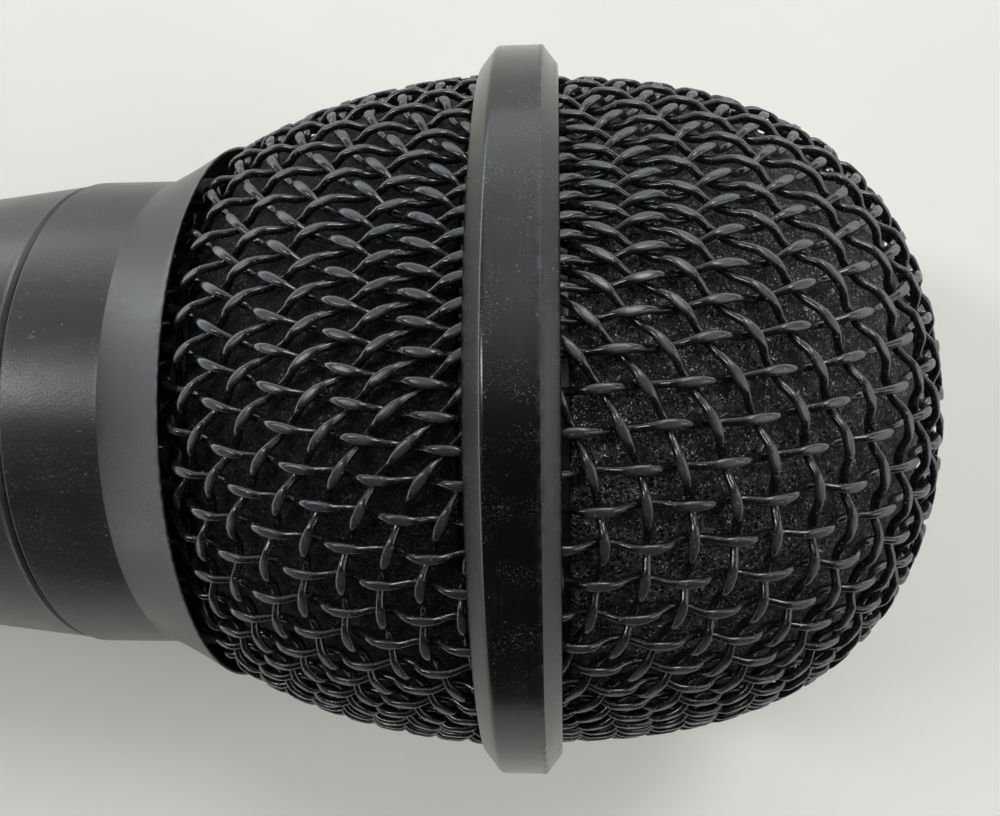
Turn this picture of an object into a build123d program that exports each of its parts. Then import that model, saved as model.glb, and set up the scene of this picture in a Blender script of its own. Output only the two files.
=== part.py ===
from build123d import *
from math import cos, radians, sin
import os

# Handheld dynamic vocal microphone, lying along +X. Lengths in millimetres.
# x = 0 is the mouth of the cable socket, the grille points to +X, and y = z = 0 is the microphone's axis.
# Almost every piece is a half section (x, radius) turned about that axis.

# Whole microphone
overall_length = 162.0
seam_x = 102.8          # shoulder of the handle, where the grille's collar seats
seam_gap = 0.1
tail_radius = 11.8
tail_barrel_end = 17.0
seam_radius = 17.35
seam_slope = 0.117      # growth of the handle's radius per mm at the seam
handle_wall = 1.8

# Cable socket: three-pole latching audio connector
socket_radius = 8.15
barrel_radius = 9.65
barrel_end = 26.0
insert_x0, insert_x1 = 15.5, 22.5
pin_radius, pin_shank_radius = 1.2, 1.4
pin_circle_radius = 3.95
pin_tip_x, pin_cup_x = 3.0, 27.5
pin_angles = {"contact_pin_1": 180.0, "contact_pin_2": 0.0, "contact_pin_3": 270.0}

# Threaded nose of the handle
nose_end = 108.0
neck_bore = 14.0
thread_pitch = 1.0
thread_turns = 3
thread_start = 104.2
nose_crest, nose_root = 15.5, 15.1
collar_crest, collar_root = 15.62, 16.0

# Grille: collar, two wire mesh shells and the ring that joins them
collar_corner_x, collar_corner_radius = 109.05, 17.5
collar_lip_x, collar_lip_radius = 113.8, 19.87
mesh_wall = 1.5         # two wires of the plain weave
foam_wall = 2.4
soft_gap = 0.3          # between the foam and what is next to it
dome_centre_x = 131.2
dome_length = overall_length - dome_centre_x
dome_radius = 24.12
dome_power = 2.78       # superellipse exponent
bowl_centre_x = 135.94
bowl_length, bowl_radius, bowl_power = 33.2, 24.4, 2.25
ring_x0, ring_x1 = 131.55, 136.55
ring_flat_x0, ring_flat_x1 = 132.62, 135.54
ring_radius, ring_edge_radius, ring_bore = 26.0, 24.7, 24.45
mesh_join_x = 134.0

# Capsule, floating on a rubber mount inside the nose
capsule_radius = 12.8
chamber_radius = 9.5
chamber_x0, chamber_x1 = 66.0, 99.5
capsule_travel = 0.8    # each way along the axis, on the rubber mount
housing_front = 117.5
cap_front = 119.0


def band(x0, x1, r0, r1):
    """Rectangle of the half section, from station x0 to x1 and from radius r0 to r1."""
    with Locations(((x0 + x1) / 2, (r0 + r1) / 2)):
        Rectangle(x1 - x0, r1 - r0)


def superellipse(centre, length, radius, power, angles):
    """Points x = centre + length*cos^(2/n), r = radius*sin^(2/n) at the given angles in degrees."""
    return [
        (
            centre + length * abs(cos(radians(t))) ** (2 / power) * (1 if t < 90 else -1),
            radius * sin(radians(t)) ** (2 / power),
        )
        for t in angles
    ]


def save(part, name):
    """Label the part and write it to its own STEP file."""
    part.part.label = name
    export_step(part.part, f"parts/{name}.step")


def handle_radius(x):
    """Outer radius of the tapered grip: a parabola from the tail barrel to the slope at the seam."""
    run = seam_x - tail_barrel_end
    u = (x - tail_barrel_end) / run
    first = 2 * (seam_radius - tail_radius) / run - seam_slope
    return tail_radius + first * run * u + (seam_slope - first) * run * u * u / 2


os.makedirs("parts", exist_ok=True)

# Handle

taper = [tail_barrel_end + (seam_x - tail_barrel_end) * k / 4 for k in range(5)]
cavity = [barrel_end, 45.0, 65.0, 84.0]
flange_x0, flange_x1, flange_bore = 84.0, 86.0, 11.3
edge = 0.25
screw_x = 20.0
screw_hole = 1.3

with BuildPart() as handle:
    with BuildSketch(Plane.XZ):
        with BuildLine():
            Polyline(
                (tail_barrel_end, tail_radius),
                (0.5, tail_radius),
                (0, tail_radius - 0.5),
                (0, barrel_radius + 0.05),
                (barrel_end, barrel_radius + 0.05),
            )
            Line((barrel_end, barrel_radius + 0.05), (cavity[0], handle_radius(cavity[0]) - handle_wall))
            Spline([(x, handle_radius(x) - handle_wall) for x in cavity])
            nose = [(flange_x0, flange_bore), (flange_x1, flange_bore), (flange_x1, neck_bore)]
            nose += [(nose_end, neck_bore), (nose_end, nose_root + 0.1), (nose_end - 0.3, nose_crest)]
            for k in range(thread_turns, 0, -1):
                crest_x = thread_start + thread_pitch * k
                nose += [(crest_x - 0.35, nose_crest), (crest_x - 0.5, nose_root), (crest_x - 0.65, nose_root)]
                nose += [(crest_x - 0.8, nose_crest)]
            nose += [(thread_start, nose_crest), (thread_start - 0.3, nose_root)]
            nose += [(seam_x, nose_root), (seam_x, seam_radius - edge), (seam_x - edge, seam_radius)]
            Polyline((cavity[-1], handle_radius(cavity[-1]) - handle_wall), *nose)
            Line((seam_x - edge, seam_radius), (seam_x - 2 * edge, handle_radius(seam_x - 2 * edge)))
            Spline([(seam_x - 2 * edge, handle_radius(seam_x - 2 * edge))]
                   + [(x, handle_radius(x)) for x in taper[3::-1]])
        make_face()
    revolve(axis=Axis.X)
    with Locations(Plane((screw_x, -handle_radius(screw_x) - 1, 0), z_dir=(0, -1, 0))):
        Cylinder(screw_hole, 8, mode=Mode.SUBTRACT)
save(handle, "handle")

screw_outer = handle_radius(screw_x) - 0.1
with BuildPart() as set_screw:
    with BuildSketch(Plane((screw_x, -barrel_radius - 0.02, 0), z_dir=(0, -1, 0))):
        Circle(screw_hole - 0.05)
    extrude(amount=screw_outer - barrel_radius)
    with BuildSketch(Plane((screw_x, -screw_outer, 0), z_dir=(0, -1, 0))):
        Rectangle(3 * screw_hole, 0.4)
    extrude(amount=-0.7, mode=Mode.SUBTRACT)
save(set_screw, "connector_set_screw")

# Cable socket

latch_slot = (3.0, 9.0, 3.4)   # from x, to x, width of the slot for the plug's latch
with BuildPart() as connector_barrel:
    with BuildSketch(Plane.XZ):
        with BuildLine():
            Polyline(
                (0.3, socket_radius + 0.4), (0.7, socket_radius), (barrel_end, socket_radius),
                (barrel_end, barrel_radius), (0.3, barrel_radius), (0.3, socket_radius + 0.4),
            )
        make_face()
    revolve(axis=Axis.X)
    with Locations(((latch_slot[0] + latch_slot[1]) / 2, 0, barrel_radius)):
        Box(latch_slot[1] - latch_slot[0], latch_slot[2], 4, mode=Mode.SUBTRACT)
save(connector_barrel, "connector_barrel")

pin_places = [
    (pin_circle_radius * cos(radians(a)), pin_circle_radius * sin(radians(a))) for a in pin_angles.values()
]
socket_plane = Plane(origin=(0, 0, 0), x_dir=(0, 1, 0), z_dir=(1, 0, 0))   # local x is +Y, local y is +Z
with BuildPart() as connector_insert:
    with BuildSketch(socket_plane.offset(insert_x0)):
        Circle(socket_radius - 0.02)
        with Locations(*pin_places):
            Circle(pin_shank_radius + 0.01, mode=Mode.SUBTRACT)
    extrude(amount=insert_x1 - insert_x0)
    with Locations((insert_x0 - 1.5, 0, socket_radius - 0.9)):
        Box(3.2, 2.2, 1.6)
save(connector_insert, "connector_insert")

for name, (pin_y, pin_z) in zip(pin_angles, pin_places):
    with BuildPart() as contact_pin:
        pin_plane = Plane(origin=(pin_tip_x, pin_y, pin_z), x_dir=(0, 1, 0), z_dir=(1, 0, 0))
        with BuildSketch(pin_plane):
            Circle(pin_radius)
        extrude(amount=insert_x0 - pin_tip_x)
        fillet(contact_pin.edges().sort_by(Axis.X)[0], pin_radius - 0.1)
        with BuildSketch(pin_plane.offset(insert_x0 - pin_tip_x)):
            Circle(pin_shank_radius)
        extrude(amount=pin_cup_x - insert_x0)
        with BuildSketch(pin_plane.offset(pin_cup_x - pin_tip_x)):
            Circle(pin_radius - 0.3)
        extrude(amount=-3, mode=Mode.SUBTRACT)
    save(contact_pin, name)

with BuildPart() as insert_gasket:
    with BuildSketch(socket_plane.offset(insert_x1 + 0.02)):
        Circle(socket_radius - 0.05)
        with Locations(*pin_places):
            Circle(pin_shank_radius + 0.1, mode=Mode.SUBTRACT)
    extrude(amount=1.2)
save(insert_gasket, "insert_gasket")

# Transformer and wiring

core_x0, core_x1 = 38.0, 54.0
core_width, core_height, leg = 14.0, 6.0, 3.2
with BuildPart() as transformer_core:
    with Locations(((core_x0 + core_x1) / 2, 0, 0)):
        Box(core_x1 - core_x0, core_width, core_height)
        window = (core_width - 3 * leg) / 2
        with Locations((0, (leg + window) / 2, 0), (0, -(leg + window) / 2, 0)):
            Box(core_x1 - core_x0 - 2 * leg, window, core_height, mode=Mode.SUBTRACT)
save(transformer_core, "transformer_core")

bobbin_length = core_x1 - core_x0 - 2 * leg - 0.1
with BuildPart() as transformer_bobbin:
    with Locations(((core_x0 + core_x1) / 2, 0, 0)):
        Box(bobbin_length, leg + 1.0, core_height + 1.0)
        with Locations(((bobbin_length - 0.6) / 2, 0, 0), (-(bobbin_length - 0.6) / 2, 0, 0)):
            Box(0.6, leg + 2 * window - 0.2, core_height + 5.0)
        Box(bobbin_length, leg + 0.04, core_height + 0.04, mode=Mode.SUBTRACT)
save(transformer_bobbin, "transformer_bobbin")

with BuildPart() as transformer_coil:
    with Locations(((core_x0 + core_x1) / 2, 0, 0)):
        Box(bobbin_length - 1.3, leg + 2 * window - 0.5, core_height + 4.4)
        fillet(transformer_coil.edges().filter_by(Axis.X), 0.8)
        Box(bobbin_length, leg + 1.04, core_height + 1.04, mode=Mode.SUBTRACT)
save(transformer_coil, "transformer_coil")

cradle_x0, cradle_x1 = 55.0, 58.0
with BuildPart() as transformer_cradle:
    with BuildSketch(Plane.XZ):
        band(cradle_x0, cradle_x1, 7.0, handle_radius(cradle_x0) - handle_wall - 0.1)
    revolve(axis=Axis.X)
    with BuildSketch(socket_plane.offset(core_x1 - 3.0)):
        Rectangle(core_width + 2.4, core_height + 2.4)
        Rectangle(core_width + 0.04, core_height + 0.04, mode=Mode.SUBTRACT)
    extrude(amount=cradle_x0 - core_x1 + 3.5)
save(transformer_cradle, "transformer_cradle")


def wire(path_points, radius, bend):
    """Round wire along straight runs joined by tangent arcs of the given bend radius."""
    with BuildLine() as route:
        FilletPolyline(*path_points, radius=bend)
    with BuildSketch(Plane(origin=route.line @ 0, z_dir=route.line % 0)) as section:
        Circle(radius)
    sweep(sections=section.sketch, path=route.line)


lead_radius = 0.55
lead_start = pin_cup_x - 2.5
with BuildPart() as connector_leads:
    for pin_y, pin_z in pin_places:
        side = 1.5 if pin_y > 1 else -1.5 if pin_y < -1 else 0.0
        wire(
            [
                (lead_start, pin_y, pin_z),
                (lead_start + 5.0, pin_y, pin_z),
                (lead_start + 9.0, side * 1.6, pin_z - 0.6 * (pin_z + 4.2)),
                (core_x0 - 0.1, side * 2.2, pin_z - 0.6 * (pin_z + 4.2)),
            ],
            lead_radius,
            1.6,
        )
save(connector_leads, "connector_leads")

board_x = 64.8
with BuildPart() as capsule_leads:
    for side in (-1.0, 1.0):
        wire(
            [
                (core_x1 - 1.5, side * 2.0, 4.9),
                (core_x1 + 2.8, side * 2.0, 4.9),
                (core_x1 + 5.6, side * 3.4, 2.6),
                (board_x - 3.0, side * 3.4, 2.6),
            ],
            0.5,
            1.4,
        )
save(capsule_leads, "capsule_leads")

# Rubber mount of the capsule

mount_x0, mount_x1 = flange_x1 + 0.02, 96.0
web_x0, web_x1 = 89.5, 92.5
with BuildPart() as shock_mount:
    with BuildSketch(Plane.XZ):
        band(mount_x0, mount_x1, 12.0, neck_bore - 0.05)
        band(web_x0, web_x1, chamber_radius + soft_gap, 12.0)
    revolve(axis=Axis.X)
save(shock_mount, "shock_mount")

with BuildPart() as mount_ring:
    with BuildSketch(Plane.XZ):
        band(mount_x1 + 0.02, 98.0, 12.2, neck_bore - 0.05)
    revolve(axis=Axis.X)
    with Locations((98.0, 13.1, 0), (98.0, -13.1, 0)):
        Box(1.4, 4.0, 1.2, mode=Mode.SUBTRACT)
save(mount_ring, "mount_retaining_ring")

# Capsule

bead_gap = capsule_travel + 0.4     # from the rubber's web to each bead of the chamber
bead = (10.6, 0.8)
with BuildPart() as rear_chamber:
    with BuildSketch(Plane.XZ):
        band(chamber_x0, chamber_x0 + 1.2, 0, chamber_radius)
        band(chamber_x0 + 1.2, chamber_x1, chamber_radius - 0.8, chamber_radius)
        band(web_x0 - bead_gap - bead[1], web_x0 - bead_gap, chamber_radius, bead[0])
        band(web_x1 + bead_gap, web_x1 + bead_gap + bead[1], chamber_radius, bead[0])
    revolve(axis=Axis.X)
save(rear_chamber, "rear_chamber")

with BuildPart() as terminal_board:
    with BuildSketch(socket_plane.offset(board_x)):
        Circle(7.6)
        with Locations((0, 5.2), (0, -5.2)):
            Circle(0.8, mode=Mode.SUBTRACT)
    extrude(amount=chamber_x0 - board_x - 0.02)
save(terminal_board, "terminal_board")

with BuildPart() as terminal_tags:
    with Locations((board_x - 0.27, 3.4, 2.6), (board_x - 0.27, -3.4, 2.6)):
        Box(0.5, 2.6, 2.0)
save(terminal_tags, "terminal_tags")

port_count = 8
back_plate = 1.0
with BuildPart() as capsule_housing:
    with BuildSketch(Plane.XZ):
        band(chamber_x1 + 0.02, chamber_x1 + back_plate, 5.0, capsule_radius)
        band(chamber_x1 + back_plate, housing_front, capsule_radius - 1.0, capsule_radius)
    revolve(axis=Axis.X)
    with BuildSketch(socket_plane.offset(chamber_x1 + 10.0)):
        with PolarLocations(capsule_radius, port_count):
            Rectangle(4.0, 5.6)
    extrude(amount=1.6, mode=Mode.SUBTRACT)
save(capsule_housing, "capsule_housing")

with BuildPart() as port_screen:
    with BuildSketch(Plane.XZ):
        band(chamber_x1 + 9.2, chamber_x1 + 12.4, capsule_radius + 0.02, capsule_radius + 0.25)
    revolve(axis=Axis.X)
save(port_screen, "port_screen")

motor_x = chamber_x1 + back_plate
cup_radius, gap_radius, pole_radius = 10.8, 7.3, 6.4
sections = {
    "damping_felt": [(motor_x + 0.02, motor_x + 0.98, 4.0, 10.5)],
    "magnet_cup": [
        (motor_x + 1.0, motor_x + 2.6, 0, cup_radius),
        (motor_x + 2.6, motor_x + 9.0, cup_radius - 1.2, cup_radius),
    ],
    "magnet": [(motor_x + 2.62, motor_x + 7.0, 0, 6.0)],
    "pole_piece": [(motor_x + 7.02, motor_x + 10.8, 0, pole_radius)],
    "top_plate": [(motor_x + 9.02, motor_x + 10.8, gap_radius, cup_radius)],
    "diaphragm_frame": [(motor_x + 10.82, motor_x + 12.9, 9.6, capsule_radius - 1.05)],
    "diaphragm_clamp_ring": [(motor_x + 13.04, motor_x + 14.0, 10.3, capsule_radius - 1.05)],
    "front_screen": [(cap_front + 0.02, cap_front + 0.3, 0, capsule_radius - 0.8)],
}
for name, bands in sections.items():
    with BuildPart() as turned:
        with BuildSketch(Plane.XZ):
            for corners in bands:
                band(*corners)
        revolve(axis=Axis.X)
    save(turned, name)

membrane_x, membrane = motor_x + 12.92, 0.1
coil_outer, coil_inner = 7.05, 6.62
roll_inner, roll_outer, roll_height = coil_inner + 0.13, 10.2, 0.8
with BuildPart() as surround:
    with BuildSketch(Plane.XZ):
        with BuildLine():
            middle = (roll_inner + roll_outer) / 2
            ThreePointArc((membrane_x, roll_inner), (membrane_x + roll_height, middle), (membrane_x, roll_outer))
            Polyline(
                (membrane_x, roll_outer), (membrane_x, capsule_radius - 1.1),
                (membrane_x + membrane, capsule_radius - 1.1), (membrane_x + membrane, roll_outer + 0.05),
            )
            ThreePointArc(
                (membrane_x + membrane, roll_outer + 0.05),
                (membrane_x + roll_height + membrane, middle),
                (membrane_x + membrane, roll_inner),
            )
            Line((membrane_x + membrane, roll_inner), (membrane_x, roll_inner))
        make_face()
    revolve(axis=Axis.X)
save(surround, "diaphragm_surround")

dome_height = 2.1
dome_curve = (coil_inner**2 + dome_height**2) / (2 * dome_height)   # radius of the dome's sphere
dome_middle = (dome_height - dome_curve + (dome_curve**2 - coil_inner**2 / 4) ** 0.5, coil_inner / 2)
with BuildPart() as diaphragm:
    with BuildSketch(Plane.XZ):
        with BuildLine():
            crown_x, middle_x = membrane_x + dome_height, membrane_x + dome_middle[0]
            ThreePointArc((membrane_x, coil_inner), (middle_x, dome_middle[1]), (crown_x, 0))
            Line((crown_x, 0), (crown_x + membrane, 0))
            ThreePointArc(
                (crown_x + membrane, 0),
                (middle_x + membrane, dome_middle[1]),
                (membrane_x + membrane, coil_inner),
            )
            Line((membrane_x + membrane, coil_inner), (membrane_x, coil_inner))
        make_face()
    revolve(axis=Axis.X)
save(diaphragm, "diaphragm_dome")

for name, corners in {
    "coil_former": (motor_x + 8.6, membrane_x - 0.01, coil_inner - 0.08, coil_inner),
    "voice_coil": (motor_x + 8.7, motor_x + 11.1, coil_inner + 0.01, coil_outer),
}.items():
    with BuildPart() as turned:
        with BuildSketch(Plane.XZ):
            band(*corners)
        revolve(axis=Axis.X)
    save(turned, name)

with BuildPart() as capsule_cap:
    with BuildSketch(socket_plane.offset(housing_front + 0.02)):
        Circle(capsule_radius)
        Circle(1.3, mode=Mode.SUBTRACT)
        with PolarLocations(4.4, 6):
            Circle(1.3, mode=Mode.SUBTRACT)
        with PolarLocations(9.2, 12, start_angle=15):
            Circle(1.3, mode=Mode.SUBTRACT)
    extrude(amount=cap_front - housing_front - 0.02)
save(capsule_cap, "capsule_cap")

# Grille

collar_x0 = seam_x + seam_gap
channel_floor, channel_inner, inner_wall = 110.9, 15.6, 15.0
inner_wall_top = 112.9
lip_wall = 0.22
with BuildPart() as collar:
    with BuildSketch(Plane.XZ):
        with BuildLine():
            bore = [(collar_corner_x, inner_wall), (collar_corner_x, collar_crest)]
            bore += [(collar_corner_x - 0.2, collar_root)]
            for k in range(thread_turns, -1, -1):
                crest_x = thread_start + 0.5 + thread_pitch * k
                bore += [(crest_x + 0.15, collar_root), (crest_x, collar_crest)]
                bore += [(crest_x - 0.15, collar_crest), (crest_x - 0.3, collar_root)]
            bore += [(collar_x0 + 0.3, collar_root), (collar_x0, collar_root + 0.2)]
            bore += [(collar_x0, collar_corner_radius - edge), (collar_x0 + edge, collar_corner_radius)]
            bore += [(collar_corner_x, collar_corner_radius)]
            Polyline(*bore)
            ThreePointArc(
                (collar_corner_x, collar_corner_radius),
                (collar_lip_x - 2.1, 18.72),
                (collar_lip_x, collar_lip_radius),
            )
            Polyline(
                (collar_lip_x, collar_lip_radius),
                (collar_lip_x, collar_lip_radius - lip_wall),
                (channel_floor + 0.35, 18.0),
                (channel_floor, 17.7),
                (channel_floor, channel_inner),
                (inner_wall_top, channel_inner),
                (inner_wall_top, inner_wall),
                (collar_corner_x, inner_wall),
            )
        make_face()
    revolve(axis=Axis.X)
save(collar, "collar")

bowl_angles = (136.4, 129, 120, 110, 100, 92.5)
bowl_end = mesh_join_x - 0.1
with BuildPart() as bowl_mesh:
    with BuildSketch(Plane.XZ):
        with BuildLine():
            outer = superellipse(bowl_centre_x, bowl_length, bowl_radius, bowl_power, bowl_angles)
            inner = superellipse(
                bowl_centre_x, bowl_length - mesh_wall, bowl_radius - mesh_wall, bowl_power, bowl_angles
            )
            outer[-1] = (bowl_end, outer[-1][1])
            inner[-1] = (bowl_end, inner[-1][1])
            Spline(outer)
            Line(outer[-1], inner[-1])
            Spline(inner[::-1])
            Line(inner[0], outer[0])
        make_face()
    revolve(axis=Axis.X)
save(bowl_mesh, "bowl_mesh")

dome_angles = (0, 12, 26, 40, 54, 68, 80)


def dome_arc(start_x, depth):
    """Superellipse of the dome, set in by depth, from the tip to the station start_x."""
    length, radius = dome_length - depth, dome_radius - depth
    points = superellipse(dome_centre_x, length, radius, dome_power, dome_angles)
    start_share = ((start_x - dome_centre_x) / length) ** dome_power
    return points + [(start_x, radius * (1 - start_share) ** (1 / dome_power))]


hoop_x0, hoop_x1 = ring_x0 - 0.4, ring_x1 + 0.4
for name, (start_x, inset, wall) in {
    "dome_mesh": (mesh_join_x + 0.1, 0, mesh_wall),
    "dome_foam": (hoop_x1 + 0.5, mesh_wall + soft_gap, foam_wall),
}.items():
    outer, inner = dome_arc(start_x, inset), dome_arc(start_x, inset + wall)
    with BuildPart() as domed_shell:
        with BuildSketch(Plane.XZ):
            with BuildLine():
                Spline(outer, tangents=[(0, 1), (-1, 0)])
                Line(outer[-1], inner[-1])
                Spline(inner[::-1], tangents=[(1, 0), (0, -1)])
                Line(inner[0], outer[0])
            make_face()
        revolve(axis=Axis.X)
    save(domed_shell, name)

foam_angles = (130.6, 124, 116, 107, 98.5)
with BuildPart() as bowl_foam:
    with BuildSketch(Plane.XZ):
        with BuildLine():
            depth = mesh_wall + soft_gap
            outer = superellipse(
                bowl_centre_x, bowl_length - depth, bowl_radius - depth, bowl_power, foam_angles
            )
            inner = [(x, r - foam_wall) for x, r in outer]
            Spline(outer)
            Line(outer[-1], inner[-1])
            Spline(inner[::-1])
            Line(inner[0], outer[0])
        make_face()
    revolve(axis=Axis.X)
save(bowl_foam, "bowl_foam")

with BuildPart() as grille_ring:
    with BuildSketch(Plane.XZ):
        with BuildLine():
            Polyline(
                (ring_x0, ring_bore), (ring_x0, ring_edge_radius), (ring_flat_x0, ring_radius),
                (ring_flat_x1, ring_radius), (ring_x1, ring_edge_radius), (ring_x1, ring_bore),
                (ring_x0, ring_bore),
            )
        make_face()
    revolve(axis=Axis.X)
save(grille_ring, "grille_ring")

for name, corners in {
    "ring_hoop": (hoop_x0, hoop_x1, 21.95, 22.4),
    "mesh_clamp_ring": (channel_floor + 0.02, inner_wall_top, channel_inner + 0.02, channel_inner + 0.35),
}.items():
    with BuildPart() as turned:
        with BuildSketch(Plane.XZ):
            band(*corners)
        revolve(axis=Axis.X)
    save(turned, name)

print("turned radius of the grip at the seam", round(handle_radius(seam_x), 2))
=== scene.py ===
import math

import bpy
import numpy as np
from mathutils import Matrix, Vector


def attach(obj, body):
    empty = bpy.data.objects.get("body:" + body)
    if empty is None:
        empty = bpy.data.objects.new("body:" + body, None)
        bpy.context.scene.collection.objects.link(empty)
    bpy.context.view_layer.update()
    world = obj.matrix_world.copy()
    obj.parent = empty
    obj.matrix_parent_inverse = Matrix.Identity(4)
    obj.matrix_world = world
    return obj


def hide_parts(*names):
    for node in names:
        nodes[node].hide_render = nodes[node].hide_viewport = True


# A hand-held vocal microphone lying on a pale table: painted handle and collar, woven wire grille, black
# ring. Shapes are worked out in millimetres along the microphone's axis, +X towards the grille, and stored
# in metres.
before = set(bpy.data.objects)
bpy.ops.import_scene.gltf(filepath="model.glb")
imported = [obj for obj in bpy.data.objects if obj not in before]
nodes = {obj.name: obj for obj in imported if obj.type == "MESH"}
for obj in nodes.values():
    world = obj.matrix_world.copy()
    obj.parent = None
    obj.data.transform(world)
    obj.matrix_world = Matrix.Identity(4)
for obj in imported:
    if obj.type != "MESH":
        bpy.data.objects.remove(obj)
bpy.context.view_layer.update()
mm = 0.001
print("frame loaded:", len(nodes), "nodes")


camera = {
    "place": (136.27, 0.08, 69.62),
    "tilt": 3.53,          # degrees about Y, so that it looks a little back along the handle
    "roll": -0.37,         # degrees about its own axis
    "lens": 32.63,
    "sensor": 36.0,
    "nearest": 1.0,
}
cameraData = bpy.data.cameras.new("camera")
cameraData.lens = camera["lens"]
cameraData.sensor_width = camera["sensor"]
cameraData.clip_start = camera["nearest"] * mm
cameraObject = bpy.data.objects.new("camera", cameraData)
cameraObject.matrix_world = (
    Matrix.Translation(Vector(camera["place"]) * mm)
    @ Matrix.Rotation(math.radians(camera["tilt"]), 4, "Y")
    @ Matrix.Rotation(math.radians(camera["roll"]), 4, "Z")
)
bpy.context.scene.collection.objects.link(cameraObject)
bpy.context.scene.camera = cameraObject


def addNode(tree, kind, inputs=None, **settings):
    # one shader node, its settings, and its inputs given as numbers or as sockets to link
    node = tree.nodes.new("ShaderNode" + kind)
    for key, value in settings.items():
        setattr(node, key, value)
    for key, value in (inputs or {}).items():
        if isinstance(value, bpy.types.NodeSocket):
            tree.links.new(value, node.inputs[key])
        else:
            node.inputs[key].default_value = value
    return node


def startMaterial(name):
    # an empty material with its Principled shader wired to the output
    material = bpy.data.materials.new(name)
    material.use_nodes = True
    tree = material.node_tree
    tree.nodes.clear()
    shader = addNode(tree, "BsdfPrincipled")
    output = addNode(tree, "OutputMaterial")
    tree.links.new(shader.outputs["BSDF"], output.inputs["Surface"])
    return material, tree, shader


def objectPlace(tree):
    return addNode(tree, "TexCoord").outputs["Object"]


def grain(tree, place, size, detail=3.0, rough=0.55, stretch=(1, 1, 1), warp=0.0):
    # noise from 0 to 1 whose blotches are about size millimetres across
    mapped = addNode(tree, "Mapping", {"Vector": place, "Scale": stretch})
    noise = addNode(tree, "TexNoise", {
        "Vector": mapped.outputs[0], "Scale": 1 / (size * mm), "Detail": detail,
        "Roughness": rough, "Distortion": warp,
    })
    return noise.outputs["Fac"]


def remap(tree, value, low, high, toLow=0.0, toHigh=1.0):
    # straight line from low..high to toLow..toHigh, held at the ends
    return addNode(tree, "MapRange", {
        "Value": value, "From Min": low, "From Max": high, "To Min": toLow, "To Max": toHigh,
    }).outputs["Result"]


def times(tree, first, second):
    return addNode(tree, "Math", {0: first, 1: second}, operation="MULTIPLY").outputs[0]


def plus(tree, first, second, clamp=False):
    return addNode(tree, "Math", {0: first, 1: second}, operation="ADD", use_clamp=clamp).outputs[0]


def blendColour(tree, share, first, second):
    # first where share is 0, second where it is 1
    mix = addNode(tree, "Mix", data_type="RGBA")
    for key, value in (("Factor", share), ("A", first), ("B", second)):
        sockets = [s for s in mix.inputs if s.name == key and s.enabled]
        if isinstance(value, bpy.types.NodeSocket):
            tree.links.new(value, sockets[0])
        else:
            sockets[0].default_value = value if key == "Factor" else (*value, 1)
    return [s for s in mix.outputs if s.enabled][0]


def specks(tree, place, spacing, size, share):
    # round dots: the middles of some cells of a cell pattern, spacing and size in millimetres
    cells = addNode(tree, "TexVoronoi", {"Vector": place, "Scale": 1 / (spacing * mm)})
    dot = remap(tree, cells.outputs["Distance"], size / spacing, 0.5 * size / spacing)
    chance = addNode(tree, "SeparateColor", {"Color": cells.outputs["Color"]}).outputs[0]
    return times(tree, dot, remap(tree, chance, 1 - share, 1 - share + 0.02))


def bumpFrom(tree, height, depth, strength=1.0):
    # depth is how far a height of 1 stands out, in millimetres
    return addNode(tree, "Bump", {"Height": height, "Distance": depth * mm, "Strength": strength}).outputs[0]


studio = {
    "shadeFrom": (0.0, -0.75, 0.66),   # where the person who leans over the table stands
    "lamps": {
        # towards, size in mm, power
        "ceiling_lamp": ((-0.60, 0.19, 0.76), (330.0, 110.0), 2.3),
        "key_lamp": ((0.28, 0.60, 0.74), (300.0, 220.0), 2.5),
        "side_lamp": ((0.80, -0.05, 0.60), (500.0, 500.0), 1.8),
    },
    "lampDistance": 900.0,
    "lampsFaceX": 0.1,                 # in metres: the lamps stand round this point of the axis
    "backdrop": (0.80, 0.805, 0.775),
    "tint": (0.955, 1.0, 1.04),
    "sideways": (0.25, 0.75),          # a direction's x, from where the side walls begin to where they are full
    "leastHeight": 0.05,               # no glare from the floor on the right, below this height
    "rampScale": 0.5,                  # colour ramps stop at 1, so they hold half of each brightness
}
# brightness of the surroundings by the angle from shadeFrom, in degrees: dark towards the person, bright
# on the far side
surroundings = ((0, 0.05), (43, 0.05), (50, 0.17), (57, 0.32), (64, 0.58), (72, 0.88), (90, 1.0),
                (114, 1.6), (126, 2.1), (150, 2.1))
# to the left and right that brightness is multiplied by a share that depends on height above the horizon:
# bright walls low down, a dim ceiling
sideWalls = ((0.0, 4.4), (0.03, 1.5), (0.09, 1.5), (0.18, 1.0), (0.32, 0.4), (0.5, 0.25))


def fillRamp(ramp, stops):
    # a colour at each position, in place of the ramp's own two
    elements = ramp.color_ramp.elements
    while len(elements) < len(stops):
        elements.new(1.0)
    for element, (position, colour) in zip(elements, stops):
        element.position = position
        element.color = (*colour, 1)


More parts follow.
